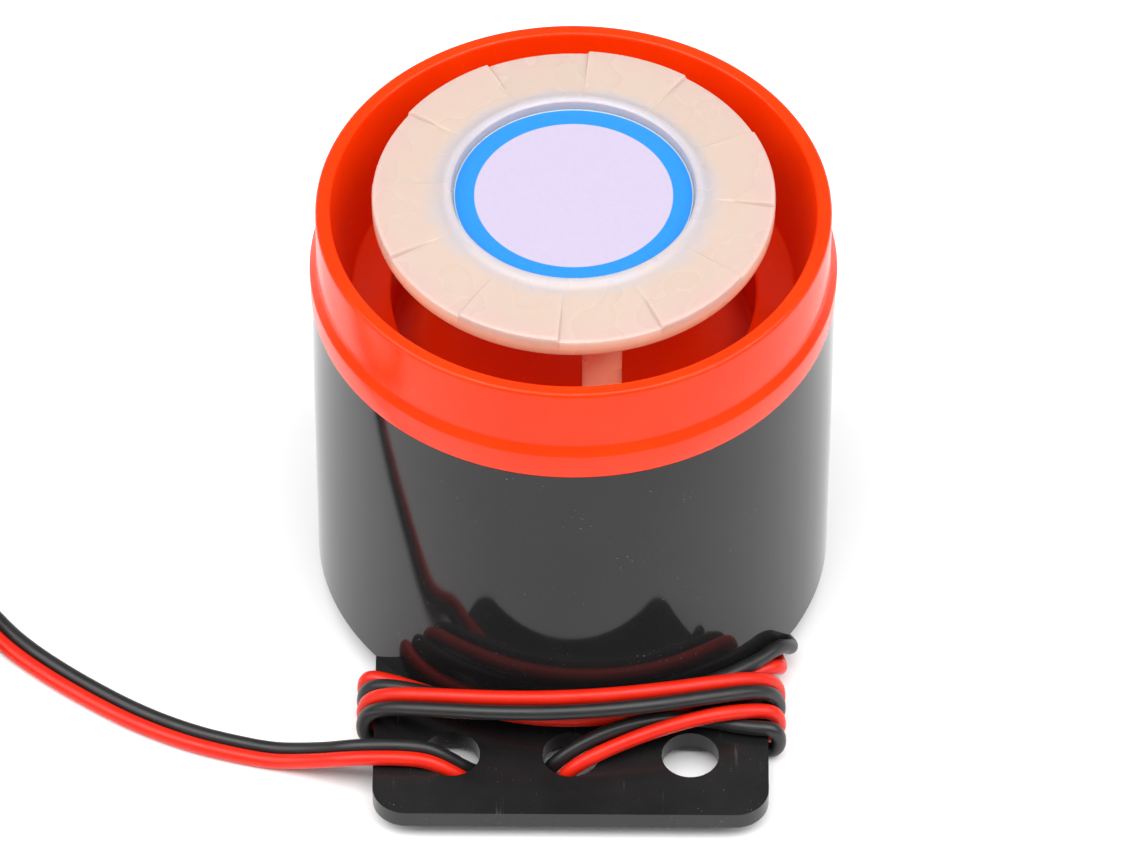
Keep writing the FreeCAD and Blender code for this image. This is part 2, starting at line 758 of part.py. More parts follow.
os.makedirs("parts", exist_ok=True)
for name, thing in nodes.items():
    shape = thing.Shape
    if shape.isNull() or not shape.isValid() or not shape.Solids:
        raise RuntimeError(f"{name} has no valid solid")
    print(f"{name:24s} solids {len(shape.Solids):2d}  volume {shape.Volume:9.2f}")
    shape.exportStep(f"parts/{name}.step")
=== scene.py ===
"""The siren's looks: its casing, diffuser, printed disc, tab and wound twin lead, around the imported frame."""

import math

import bmesh
import bpy
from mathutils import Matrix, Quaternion, Vector


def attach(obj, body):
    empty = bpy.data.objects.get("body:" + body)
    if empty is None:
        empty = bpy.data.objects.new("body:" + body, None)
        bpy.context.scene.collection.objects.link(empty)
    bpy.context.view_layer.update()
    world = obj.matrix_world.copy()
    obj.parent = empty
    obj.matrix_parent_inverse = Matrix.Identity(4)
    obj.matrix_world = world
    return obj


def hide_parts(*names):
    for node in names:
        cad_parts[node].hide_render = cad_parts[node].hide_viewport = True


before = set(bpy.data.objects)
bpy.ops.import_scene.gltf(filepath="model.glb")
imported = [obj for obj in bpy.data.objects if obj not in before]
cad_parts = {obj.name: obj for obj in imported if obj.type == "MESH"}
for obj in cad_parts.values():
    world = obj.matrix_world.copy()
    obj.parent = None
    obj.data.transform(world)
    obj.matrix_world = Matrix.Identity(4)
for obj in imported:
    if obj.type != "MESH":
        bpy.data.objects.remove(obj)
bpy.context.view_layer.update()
MM = 0.001
scene = bpy.context.scene
scene.view_settings.view_transform = "Standard"


def mm(x, y, z):
    return Vector((x, y, z)) * MM


# ---------------------------------------------------------------- camera

EYE = mm(1.62, -475.5, 534.7)
AIM = mm(-0.23, -3.11, 18.13)
ROLL = math.radians(0.16)
camera_data = bpy.data.cameras.new("camera")
camera_data.sensor_width = 36.0
camera_data.lens = 267.5
camera_data.clip_start = 0.05
camera = bpy.data.objects.new("camera", camera_data)
camera.location = EYE
camera.rotation_mode = "QUATERNION"
camera.rotation_quaternion = (AIM - EYE).to_track_quat("-Z", "Y") @ Quaternion((0, 0, 1), ROLL)
scene.collection.objects.link(camera)
scene.camera = camera

# ---------------------------------------------------------------- what it rests on

# The siren leans on the turns under its tab, so the floor is tilted a little in its frame.
REST_SLOPE = 1.35 / (20.2 + 22.12)
REST_EDGE = 20.2


def floor_level(y):
    return -REST_SLOPE * (REST_EDGE - y)


FLOOR_NORMAL = Vector((0, -REST_SLOPE, 1)).normalized()

# ---------------------------------------------------------------- strands and lead

STRAND = 0.63  # radius of one strand, in millimetres

# The two strands leave the plate side by side, pass the tab's right edge, go twice round the tab, cross
# its top once more, then go down its middle hole and up its left one. Millimetres.
TAB_HALF, TAB_TOP = 16.28, 1.6
EDGE = TAB_HALF + STRAND + 0.25  # a control point beside the tab's edge
ABOVE = TAB_TOP + STRAND + 0.1
UNDER = -STRAND - 0.03
FOOT = 21.4 + STRAND + 0.15  # how near the cup's axis a turn comes, where it lies against the foot
CROSSING_POINTS = 9
CROSSING_REACH = 15.4
LEAVING = {
    "red": [
        (8.65, -9.0, 2.6), (8.65, -9.6, 0.9), (11.5, -10.5, 0.75), (14.6, -11.2, 0.7),
        (17.1, -12.3, 0.2), (17.4, -13.9, 0.4), (17.2, -15.1, 2.0),
    ],
    "black": [
        (7.35, -9.0, 2.6), (7.35, -8.1, 0.7), (11.5, -8.85, 0.75), (15.0, -9.7, 0.75),
        (17.6, -10.7, 0.75), (18.5, -12.4, 1.2), (17.3, -13.9, 3.3),
    ],
}
# One row for each crossing of the tab's top, right edge to left: its place along Y at the right edge,
# in the middle and at the left edge, its height in the middle, and how narrow its bow outward and its
# arch upward are. Under 1 is steep at the tab's edges and flat in the middle.
CROSSINGS = {
    "red": [(-15.2, -22.2, -16.8, 3.3, 1.6, 1.5), (-17.4, -22.6, -19.6, 6.6, 1.0, 0.5)],
    "black": [(-14.0, -22.3, -18.2, 5.1, 1.3, 0.5), (-18.7, -24.1, -21.0, 6.5, 1.0, 0.5)],
}
LAST_CROSSING = {
    "red": [
        (14.8, -20.9, 3.1), (11.8, -22.2, 4.1), (8.0, -23.3, 3.9), (4.0, -24.5, 3.0), (1.2, -25.6, 2.2),
    ],
    "black": [
        (14.6, -22.2, 2.4), (11.5, -21.3, 2.3), (8.0, -21.9, 3.4), (4.0, -23.3, 3.8), (0.5, -24.3, 2.4),
    ],
}
LAST_START = {"red": -20.4, "black": -22.2}
THROUGH_HOLES = {
    "red": [
        (-0.3, -25.9, 1.0), (-1.0, -25.9, -0.7), (-4.0, -25.85, -0.7), (-7.4, -25.85, -0.9),
        (-8.6, -25.85, -0.2), (-9.5, -25.85, 0.6),
    ],
    "black": [
        (-1.4, -24.9, 0.9), (-2.1, -24.6, -0.8), (-4.4, -24.55, -0.7), (-7.4, -24.55, -0.9),
        (-8.6, -24.58, -0.2), (-9.5, -24.58, 0.6),
    ],
}


def over_tab(right, middle, left, height, narrow, steep):
    """One crossing of the tab's top, bowed up and outward, and kept off the cup's foot."""
    points = []
    for step in range(CROSSING_POINTS):
        x = CROSSING_REACH * (1 - 2 * step / (CROSSING_POINTS - 1))
        bow = 1 - (x / EDGE) ** 2
        straight = right + (left - right) * (EDGE - x) / (2 * EDGE)
        y = straight + (middle - (right + left) / 2) * bow ** narrow
        y = min(y, -math.sqrt(FOOT ** 2 - x ** 2))
        points.append((x, y, ABOVE + (height - ABOVE) * bow ** steep))
    return points


def under_tab(left, right):
    """Down the tab's left edge, across underneath, slanting only near the right edge, and up there."""
    inner = TAB_HALF - 1.5
    middle = (left + right) / 2
    return [
        (-EDGE, left, ABOVE), (-EDGE, left, UNDER), (-inner, left, UNDER), (inner / 2, left, UNDER),
        (inner, middle, UNDER), (EDGE, right, UNDER), (EDGE, right, ABOVE),
    ]


def winding_points(strand):
    """The control points of one strand, from its hole in the plate to the tab's left hole."""
    points = list(LEAVING[strand])
    rows = CROSSINGS[strand]
    starts = [row[0] for row in rows[1:]] + [LAST_START[strand]]
    for row, after in zip(rows, starts):
        points += over_tab(*row) + under_tab(row[2], after)
    return points + LAST_CROSSING[strand] + THROUGH_HOLES[strand]


# The free twin lead: from the tab's left hole over its edge and along the floor, then the coil.
# A height of None lies on the floor.
RUN = [
    (-9.5, -25.22, 0.6), (-10.6, -25.25, 1.6), (-12.0, -25.15, 2.3), (-14.2, -25.0, 2.4),
    (-16.9, -24.95, 2.3), (-18.7, -24.75, 1.9), (-20.4, -24.15, 0.95), (-22.5, -23.4, -0.05),
    (-24.8, -22.8, None), (-28.0, -22.05, None), (-31.5, -21.0, None), (-35.6, -19.15, None),
    (-39.3, -16.9, None), (-43.4, -14.0, None), (-46.9, -11.0, None), (-49.6, -7.6, None),
]
COIL_MIDDLE = (-67.5, -12.0)
COIL_LIFT = 0.5
LAYER = 1.3
COLUMNS = (15.9, 13.25)
# Each turn's column and layer, from the first one laid to the last
TURNS = [(0, 0), (1, 0), (1, 1), (0, 1), (0, 2), (1, 2)]
PER_TURN = 16
COIL_START = 40  # degrees
CHORD = 1 / math.cos(math.pi / PER_TURN / 1.35)  # how far outside its curve a control point lies
# Where the last turn ends: angle round the coil, radius and height
END_POINTS = [
    (96, 12.9, 3.6), (110, 11.9, 3.4), (123, 10.8, 2.6), (135, 10.2, 1.5), (146, 9.9, 0.75), (157, 9.3, 0.66),
]
# The two bare ends: places relative to the coil's middle, splaying apart, and the bare wire's last point
TAILS = {
    "red": [(-6.4, -0.2), (-4.4, -2.9), (-2.9, -5.6)],
    "black": [(-5.2, 1.0), (-2.6, -1.4), (-0.2, -3.6)],
}
TIPS = {"red": (-1.5, -9.1), "black": (2.6, -6.3)}


def on_floor(x, y, rise):
    """A point over the floor's (x, y), raised by rise along its normal, in millimetres."""
    return Vector((x, y, floor_level(y))) + FLOOR_NORMAL * rise


def round_coil(angle, radius, rise):
    a = math.radians(angle)
    return on_floor(COIL_MIDDLE[0] + radius * math.cos(a), COIL_MIDDLE[1] + radius * math.sin(a), rise)


def lead_points():
    points = [on_floor(x, y, STRAND + 0.02) if z is None else Vector((x, y, z)) for x, y, z in RUN]
    last = len(TURNS) - 1
    for turn, (column, layer) in enumerate(TURNS):
        after = TURNS[min(turn + 1, last)]
        for step in range(PER_TURN):
            angle = COIL_START + 360 * (turn + step / PER_TURN)
            if turn == last and angle > 360 * last + END_POINTS[0][0] - 12:
                break
            ease = max(0.0, (step - PER_TURN + 4) / 4)
            ease = ease * ease * (3 - 2 * ease)
            radius = COLUMNS[column] * (1 - ease) + COLUMNS[after[0]] * ease
            level = layer * (1 - ease) + after[1] * ease
            loose = 0.12 * math.sin(math.radians(angle * 0.7 + 60 * turn))
            rise = COIL_LIFT + STRAND + 0.05 + LAYER * level
            if turn == 0:
                rise = STRAND + 0.02 + (COIL_LIFT + 0.03) * min(1, step / 5)
            points.append(round_coil(angle, (radius + loose) * CHORD, rise))
    points += [round_coil(*p) for p in END_POINTS]
    return points


def spline_curve(name, points, bevel=0.0, resolution=8):
    """A curve of one open NURBS spline through millimetre control points."""
    data = bpy.data.curves.new(name, "CURVE")
    data.dimensions = "3D"
    data.resolution_u = resolution
    data.bevel_depth = bevel * MM
    data.bevel_resolution = 6
    data.use_fill_caps = True
    spline = data.splines.new("NURBS")
    spline.points.add(len(points) - 1)
    for knot, point in zip(spline.points, points):
        knot.co = (*(Vector(point) * MM), 1.0)
    spline.order_u = 3
    spline.use_endpoint_u = True
    spline.use_smooth = True
    piece = bpy.data.objects.new(name, data)
    scene.collection.objects.link(piece)
    return piece


def followed(points, resolution=6):
    """The points of the NURBS spline that these control points give, in metres."""
    guide = spline_curve("guide", points, resolution=resolution)
    mesh = bpy.data.meshes.new_from_object(guide.evaluated_get(bpy.context.evaluated_depsgraph_get()))
    line = [v.co.copy() for v in mesh.vertices]
    bpy.data.meshes.remove(mesh)
    bpy.data.objects.remove(guide)
    return line


def mesh_piece(name, vertices, faces, materials=(), face_slots=None, smooth_angle=35):
    mesh = bpy.data.meshes.new(name)
    mesh.from_pydata(vertices, [], faces)
    for material in materials:
        mesh.materials.append(material)
    if face_slots:
        mesh.polygons.foreach_set("material_index", face_slots)
    clean = bmesh.new()
    clean.from_mesh(mesh)
    bmesh.ops.recalc_face_normals(clean, faces=clean.faces)
    clean.to_mesh(mesh)
    clean.free()
    mesh.shade_smooth()
    mesh.set_sharp_from_angle(angle=math.radians(smooth_angle))
    piece = bpy.data.objects.new(name, mesh)
    scene.collection.objects.link(piece)
    return piece


def tube_mesh(lines, radii, sides=18):
    """Round tubes with domed ends along lines of points; returns vertices, faces and each face's tube."""
    vertices, faces, owners = [], [], []
    for number, (line, radius) in enumerate(zip(lines, radii)):
        rings = []
        tangents = [
            (line[min(i + 1, len(line) - 1)] - line[max(i - 1, 0)]).normalized() for i in range(len(line))
        ]
        side = tangents[0].orthogonal().normalized()
        for point, tangent in zip(line, tangents):
            side = (side - tangent * side.dot(tangent)).normalized()
            over = tangent.cross(side)
            ring = []
            for k in range(sides):
                a = 2 * math.pi * k / sides
                ring.append(len(vertices))
                vertices.append(point + (side * math.cos(a) + over * math.sin(a)) * radius)
            rings.append(ring)
        for one, two in zip(rings, rings[1:]):
            for k in range(sides):
                faces.append((one[k], one[(k + 1) % sides], two[(k + 1) % sides], two[k]))
                owners.append(number)
        for ring in (rings[0][::-1], rings[-1]):
            faces.append(tuple(ring))
            owners.append(number)
    return vertices, faces, owners


def rounded(corners, count=5):
    """An outline of (radius, height, rounding) corners with each corner turned into a small arc."""
    outline = []
    total = len(corners)
    for i, (r, z, size) in enumerate(corners):
        here = Vector((r, z))
        if not size:
            outline.append(here)
            continue
        back = (Vector(corners[i - 1][:2]) - here).normalized()
        on = (Vector(corners[(i + 1) % total][:2]) - here).normalized()
        half = back.angle(on) / 2
        reach = size / math.tan(half)
        middle = here + (back + on).normalized() * (size / math.sin(half))
        first, last = here + back * reach - middle, here + on * reach - middle
        sweep = math.atan2(first.x * last.y - first.y * last.x, first.dot(last))
        for k in range(count + 1):
            cos, sin = math.cos(sweep * k / count), math.sin(sweep * k / count)
            outline.append(middle + Vector((first.x * cos - first.y * sin, first.x * sin + first.y * cos)))
    return outline


def turned(angles, outline_at, closed=True):
    """Vertices and faces of an outline swept round Z; outline_at gives it at each angle, in millimetres."""
    vertices, faces = [], []
    count = len(outline_at(angles[0]))
    for angle in angles:
        a = math.radians(angle)
        vertices += [Vector((p[0] * math.cos(a), p[0] * math.sin(a), p[1])) * MM for p in outline_at(angle)]
    for i in range(len(angles)):
        after = (i + 1) % len(angles)
        for k in range(count if closed else count - 1):
            up = (k + 1) % count
            faces.append((i * count + k, after * count + k, after * count + up, i * count + up))
    return vertices, faces


def welded(piece, within=0.0005):
    """Joins points that lie on each other, such as those on the axis, and drops faces without area."""
    work = bmesh.new()
    work.from_mesh(piece.data)
    bmesh.ops.remove_doubles(work, verts=work.verts, dist=within * MM)
    bmesh.ops.dissolve_degenerate(work, edges=work.edges, dist=within * MM)
    bmesh.ops.recalc_face_normals(work, faces=work.faces)
    work.to_mesh(piece.data)
    work.free()
    return piece


# ---------------------------------------------------------------- materials


def shader(name, colour, rough, **sockets):
    """A node material; returns it with its tree and its shader."""
    material = bpy.data.materials.new(name)
    material.use_nodes = True
    tree = material.node_tree
    surface = tree.nodes["Principled BSDF"]
    surface.inputs["Base Color"].default_value = (*colour, 1)
    surface.inputs["Roughness"].default_value = rough
    for word, value in sockets.items():
        surface.inputs[word.replace("_", " ")].default_value = value
    return material, tree, surface


def node(tree, kind, inputs=(), **settings):
    """Adds a node; inputs are pairs of a socket and the number, colour or output that goes into it."""
    new = tree.nodes.new(kind)
    for word, value in settings.items():
        setattr(new, word, value)
    for socket, value in inputs:
        if isinstance(value, bpy.types.NodeSocket):
            tree.links.new(value, new.inputs[socket])
        else:
            new.inputs[socket].default_value = value
    return new


def place_of(tree, stretch=(1, 1, 1)):
    """The point on the object in its own frame, in millimetres, stretched along each axis."""
    where = node(tree, "ShaderNodeTexCoord")
    scaled = [s / MM for s in stretch]
    return node(tree, "ShaderNodeMapping", [(0, where.outputs["Object"]), ("Scale", scaled)]).outputs[0]


def noise(tree, size, detail=3.0, stretch=(1, 1, 1), rough=0.5):
    """Noise whose grains are about size millimetres across."""
    made = node(
        tree, "ShaderNodeTexNoise",
        [("Vector", place_of(tree, stretch)), ("Scale", 1 / size), ("Detail", detail), ("Roughness", rough)],
    )
    return made.outputs["Fac"]


def spread(tree, value, low, high, to_low=0.0, to_high=1.0):
    """value mapped from low..high to to_low..to_high, and held at both ends."""
    pairs = [(0, value), (1, low), (2, high), (3, to_low), (4, to_high)]
    return node(tree, "ShaderNodeMapRange", pairs).outputs[0]


def mix(tree, share, one, two, how="MIX"):
    made = node(tree, "ShaderNodeMix", data_type="RGBA", blend_type=how)
    for socket, value in ((0, share), (6, one), (7, two)):
        if isinstance(value, bpy.types.NodeSocket):
            tree.links.new(value, made.inputs[socket])
        else:
            made.inputs[socket].default_value = value if socket == 0 else (*value, 1)
    return made.outputs[2]


def maths(tree, how, one, two=0.0):
    return node(tree, "ShaderNodeMath", [(0, one), (1, two)], operation=how).outputs[0]


def bumped(tree, surface, height, strength, distance=0.02):
    """Bump of that height map; distance is in millimetres."""
    pairs = [("Height", height), ("Strength", strength), ("Distance", distance * MM)]
    made = node(tree, "ShaderNodeBump", pairs)
    tree.links.new(made.outputs[0], surface.inputs["Normal"])


def moulded(name, colour, other, rough, rough_spread=0.08, patch=7.0, ripple=2.2, ripple_depth=0.006,
            scuffs=0.0, dust=0.0, dust_colour=(0.6, 0.58, 0.55), **sockets):
    """Moulded plastic: two near tones in broad patches, a faint ripple, fine scuffs and specks of dust."""
    material, tree, surface = shader(name, colour, rough, **sockets)
    tone = mix(tree, spread(tree, noise(tree, patch), 0.35, 0.65), colour, other)
    half = rough_spread / 2
    shine = spread(tree, noise(tree, patch * 0.6, 4.0), 0.3, 0.7, rough - half, rough + half)
    if dust:
        specks = spread(tree, noise(tree, 0.16, 1.0), 0.80 - dust, 0.83 - dust)
        where = spread(tree, noise(tree, 5.0, 2.0), 0.52, 0.62)
        specks = maths(tree, "MULTIPLY", specks, where)
        tone = mix(tree, specks, tone, dust_colour)
        shine = maths(tree, "ADD", shine, maths(tree, "MULTIPLY", specks, 0.4))
    if scuffs:
        lines = spread(tree, noise(tree, 0.35, 2.0, (1, 0.06, 1)), 0.66, 0.74)
        where = spread(tree, noise(tree, 6.0, 2.0), 0.50, 0.64)
        lines = maths(tree, "MULTIPLY", maths(tree, "MULTIPLY", lines, where), scuffs)
        tone = mix(tree, lines, tone, dust_colour)
        shine = maths(tree, "ADD", shine, maths(tree, "MULTIPLY", lines, 0.5))
    tree.links.new(tone, surface.inputs["Base Color"])
    tree.links.new(shine, surface.inputs["Roughness"])
    bumped(tree, surface, noise(tree, ripple, 2.0), 0.6, ripple_depth)
    return material


def milky():
    """Translucent white plastic, with a painted bluish highlight round the rim of its recess, a painted red
    glow at its thin outer edge and a painted warm glow on its side.
    """
    material, tree, surface = shader(
        "milky_plastic", (0.545, 0.43, 0.365), 0.28,
        Subsurface_Weight=0.75, Subsurface_Scale=0.0016, IOR=1.46, Coat_Weight=0.15, Coat_Roughness=0.12,
    )
    surface.inputs["Subsurface Radius"].default_value = (1.0, 0.55, 0.4)
    split = node(tree, "ShaderNodeSeparateXYZ", [(0, place_of(tree))])
    flat = node(tree, "ShaderNodeCombineXYZ", [(0, split.outputs[0]), (1, split.outputs[1])])
    radius = node(tree, "ShaderNodeVectorMath", [(0, flat.outputs[0])], operation="LENGTH").outputs["Value"]
    # The last three colours are painted light: a bluish highlight, a red glow and a warm glow.
    cream, painted_rim_highlight, painted_red_glow, painted_side_glow = (0.545, 0.43, 0.365), (0.46, 0.44, 0.48), (0.56, 0.40, 0.37), (1.0, 0.62, 0.40)
    wander = spread(tree, noise(tree, 3.0), 0.3, 0.7, -0.5, 0.5)
    away = maths(tree, "ADD", radius, wander)
    tone = mix(tree, spread(tree, noise(tree, 5.0, 1.0), 0.25, 0.75), cream, (0.545, 0.427, 0.361))
    # Painted highlight: a bluish tone on the rim of the recess.
    tone = mix(tree, spread(tree, away, 12.2, 10.2), tone, painted_rim_highlight)
    # Painted red glow: red light from the horn showing through the thin outer edge, stronger outward.
    tone = mix(tree, spread(tree, away, 14.3, 16.6, 0.0, 0.8), tone, painted_red_glow)
    # Painted warm glow on the lower side, brightening it beyond what its light gives.
    side_glow_share = spread(tree, split.outputs[2], 42.45, 41.7)
    tone = mix(tree, maths(tree, "MULTIPLY", side_glow_share, 0.85), tone, painted_side_glow)
    tree.links.new(tone, surface.inputs["Base Color"])
    shine = spread(tree, noise(tree, 3.5, 1.0), 0.2, 0.8, 0.24, 0.31)
    tree.links.new(shine, surface.inputs["Roughness"])
    bumped(tree, surface, noise(tree, 2.4, 1.0), 0.4, 0.006)
    return material


def printed():
    """Paper-white film with a blue ring round a plain lilac middle."""
    material, tree, surface = shader("printed_film", (0.8, 0.72, 0.9), 0.42, Coat_Weight=0.1)
    split = node(tree, "ShaderNodeSeparateXYZ", [(0, place_of(tree))])
    flat = node(tree, "ShaderNodeCombineXYZ", [(0, split.outputs[0]), (1, split.outputs[1])])
    radius = node(tree, "ShaderNodeVectorMath", [(0, flat.outputs[0])], operation="LENGTH").outputs["Value"]
    grain = spread(tree, noise(tree, 0.25, 2.0), 0.3, 0.7)
    blue = mix(tree, grain, (0.011, 0.21, 0.66), (0.013, 0.222, 0.68))
    mottle = spread(tree, noise(tree, 0.4, 3.0), 0.3, 0.7)
    lilac = mix(tree, mottle, (0.455, 0.400, 0.535), (0.470, 0.415, 0.550))
    tone = mix(tree, spread(tree, radius, 8.00, 8.06), lilac, blue)
    tone = mix(tree, spread(tree, radius, 9.58, 9.62), tone, (0.45, 0.55, 0.65))
    tree.links.new(tone, surface.inputs["Base Color"])
    shine = spread(tree, noise(tree, 0.5, 2.0), 0.3, 0.7, 0.38, 0.48)
    tree.links.new(shine, surface.inputs["Roughness"])
    bumped(tree, surface, noise(tree, 0.12, 2.0), 0.25, 0.004)
    return material


def metal(name, colour, rough, grain=0.3, stretch=(1, 1, 1)):
    material, tree, surface = shader(name, colour, rough, Metallic=1.0)
    worn = [c * 0.72 for c in colour]
    tone = mix(tree, spread(tree, noise(tree, 2.5, 4.0, stretch), 0.35, 0.7), colour, worn)
    tree.links.new(tone, surface.inputs["Base Color"])
    shine = spread(tree, noise(tree, grain, 3.0, stretch), 0.3, 0.7, rough - 0.06, rough + 0.1)
    tree.links.new(shine, surface.inputs["Roughness"])
    bumped(tree, surface, noise(tree, grain, 2.0, stretch), 0.4, 0.004)
    return material


def wound(name, colour, pitch):
    """Fine wire laid side by side round a vertical axis, with painted shade in the grooves between turns."""
    material, tree, surface = shader(name, colour, 0.25, Metallic=0.6)
    split = node(tree, "ShaderNodeSeparateXYZ", [(0, place_of(tree))])
    turns = maths(tree, "SINE", maths(tree, "MULTIPLY", split.outputs[2], 2 * math.pi / pitch))
    # Painted shade: the colour falls to a third in the grooves between turns and is full on their crests; the
    # same wave gives the bump.
    tone = mix(tree, spread(tree, turns, -1, 1), [c * 0.35 for c in colour], colour)
    tone = mix(tree, spread(tree, noise(tree, 1.0), 0.3, 0.7, 0, 0.3), tone, (0.5, 0.22, 0.1))
    tree.links.new(tone, surface.inputs["Base Color"])
    bumped(tree, surface, turns, 0.7, 0.05)
    return material


BLACK = moulded(
    "black_abs", (0.0115, 0.0112, 0.0115), (0.0140, 0.0136, 0.0140), 0.07, 0.03, patch=9.0, ripple=3.0,
    ripple_depth=0.004, dust=0.045, dust_colour=(0.30, 0.29, 0.28), IOR=1.345,
)
TAB_BLACK = moulded(
    "tab_black_abs", (0.0095, 0.0092, 0.0095), (0.0130, 0.0125, 0.0130), 0.24, 0.10, patch=5.0, ripple=1.4,
    ripple_depth=0.006, scuffs=0.16, dust=0.05, dust_colour=(0.30, 0.29, 0.28), IOR=1.40,
)
ORANGE = moulded(
    "orange_abs", (0.87, 0.038, 0.0008), (0.84, 0.032, 0.0006), 0.20, 0.08, patch=6.0, ripple=2.5,
    ripple_depth=0.005, dust=0.02, dust_colour=(1.0, 0.20, 0.12), IOR=1.29,
    Subsurface_Weight=0.12, Subsurface_Scale=0.0006,
)
MILKY = milky()
PRINT = printed()
RED_PVC = moulded(
    "red_pvc", (0.74, 0.016, 0.003), (0.68, 0.012, 0.002), 0.36, 0.12, patch=2.2, ripple=0.5,
    ripple_depth=0.006, dust=0.03, dust_colour=(0.50, 0.08, 0.05), IOR=1.40,
)
BLACK_PVC = moulded(
    "black_pvc", (0.010, 0.010, 0.0105), (0.015, 0.0145, 0.015), 0.38, 0.12, patch=2.2, ripple=0.5,
    ripple_depth=0.006, dust=0.04, dust_colour=(0.14, 0.13, 0.13), IOR=1.48,
)
TINNED = metal("tinned_metal", (0.72, 0.71, 0.69), 0.3)
TIE = moulded("tie_plastic", (0.78, 0.77, 0.74), (0.70, 0.69, 0.66), 0.4, dust=0.0, patch=1.5, ripple=0.4)

FINISHES = {
    "housing_cup": BLACK,
    "rear_plate": TAB_BLACK,
    "horn_ring": ORANGE,
    "diffuser": MILKY,
    "label": PRINT,
    "front_gasket": moulded("foam_rubber", (0.02, 0.02, 0.021), (0.03, 0.03, 0.031), 0.85, ripple=0.25,
                            ripple_depth=0.05),
    "piezo_plate": metal("brass_plate", (0.80, 0.55, 0.22), 0.22, stretch=(1, 0.2, 1)),
    "piezo_ceramic": moulded("piezo_ceramic", (0.66, 0.64, 0.58), (0.60, 0.58, 0.52), 0.5, ripple=0.3),
    "clamp_ring": moulded("clamp_plastic", (0.55, 0.53, 0.48), (0.50, 0.48, 0.44), 0.45),
    "clamp_screws": metal("zinc_steel", (0.62, 0.63, 0.65), 0.28),
    "circuit_board": moulded("board_laminate", (0.012, 0.13, 0.045), (0.016, 0.16, 0.055), 0.35, patch=2.0,
                             ripple=0.4, ripple_depth=0.01),
    "boost_coil_core": moulded("ferrite", (0.035, 0.034, 0.036), (0.055, 0.053, 0.055), 0.6, ripple=0.3,
                               ripple_depth=0.02),
    "boost_coil_winding": wound("copper_wire", (0.72, 0.30, 0.10), 0.28),
    "sound_chip": moulded("chip_resin", (0.015, 0.015, 0.016), (0.022, 0.022, 0.023), 0.5, ripple=0.2),
    "sound_chip_pins": TINNED,
    "electrolytic_capacitor": moulded("capacitor_sleeve", (0.02, 0.03, 0.11), (0.025, 0.035, 0.13), 0.3),
    "ceramic_capacitor": moulded("ceramic_coat", (0.62, 0.24, 0.05), (0.56, 0.21, 0.045), 0.4, ripple=0.6),
    "resistors": moulded("resistor_coat", (0.60, 0.46, 0.28), (0.55, 0.41, 0.25), 0.4, ripple=0.5),
    "supply_wire_red": RED_PVC,
    "supply_wire_black": BLACK_PVC,
    "cord_tie": TIE,
}
SAME_FINISH = {
    "rear_gasket": "front_gasket",
    "lead_grommet": "front_gasket",
    "plate_screws": "clamp_screws",
    "board_screws": "clamp_screws",
    "drive_transistor": "sound_chip",
    "polarity_diode": "sound_chip",
    "piezo_leads": "sound_chip_pins",
    "cord_tail_red": "supply_wire_red",
    "cord_tail_black": "supply_wire_black",
    "cord_tip_red": "sound_chip_pins",
    "cord_tip_black": "sound_chip_pins",
}
for name, like in SAME_FINISH.items():
    FINISHES[name] = FINISHES[like]
EDGES = {"housing_cup": 0.12, "rear_plate": 0.22}

for name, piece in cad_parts.items():
    finish = FINISHES.get(name, RED_PVC)
    piece.data.materials.clear()
    piece.data.materials.append(finish)
    if name in EDGES:
        rounding = piece.modifiers.new("rounding", "BEVEL")
        rounding.width = EDGES[name] * MM
        rounding.segments = 3
        rounding.limit_method = "ANGLE"
        rounding.angle_limit = math.radians(50)
        rounding.harden_normals = True

# ---------------------------------------------------------------- lead pieces


def finished(piece, body, slot, *nodes):
    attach(piece, body)
    if nodes:
        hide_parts(*nodes)
    return piece


for name, strand, finish, slot in (
    ("winding_red", "red", RED_PVC, "lead_red"),
    ("winding_black", "black", BLACK_PVC, "lead_black"),
):
    winding = spline_curve(name, winding_points(strand), bevel=STRAND, resolution=10)
    winding.data.materials.append(finish)
    finished(winding, "casing", slot, "cord_winding", "cord_hole_loop")

lead_line = followed(lead_points())
lead_tangents = [
    (lead_line[min(i + 1, len(lead_line) - 1)] - lead_line[max(i - 1, 0)]).normalized()
    for i in range(len(lead_line))
]
# The twin lies flat: its strands are side by side across the way it runs. In the hole they stand
# one behind the other.
red_line, black_line = [], []
for point, tangent in zip(lead_line, lead_tangents):
    across = FLOOR_NORMAL.cross(tangent)
    flat = min(1.0, max(0.0, across.length / 0.9 - 0.15))
    across = (across.normalized() * flat + Vector((0, -1, 0)) * (1 - flat)).normalized()
    across = (across - tangent * across.dot(tangent)).normalized()
    red_line.append(point + across * (STRAND + 0.005) * MM)
    black_line.append(point - across * (STRAND + 0.005) * MM)
vertices, faces, owners = tube_mesh([red_line, black_line], [STRAND * MM] * 2)
lead = mesh_piece("twin_lead", vertices, faces, (RED_PVC, BLACK_PVC), owners, 60)
finished(lead, "casing", "lead_red", "cord_run", "cord_coil")

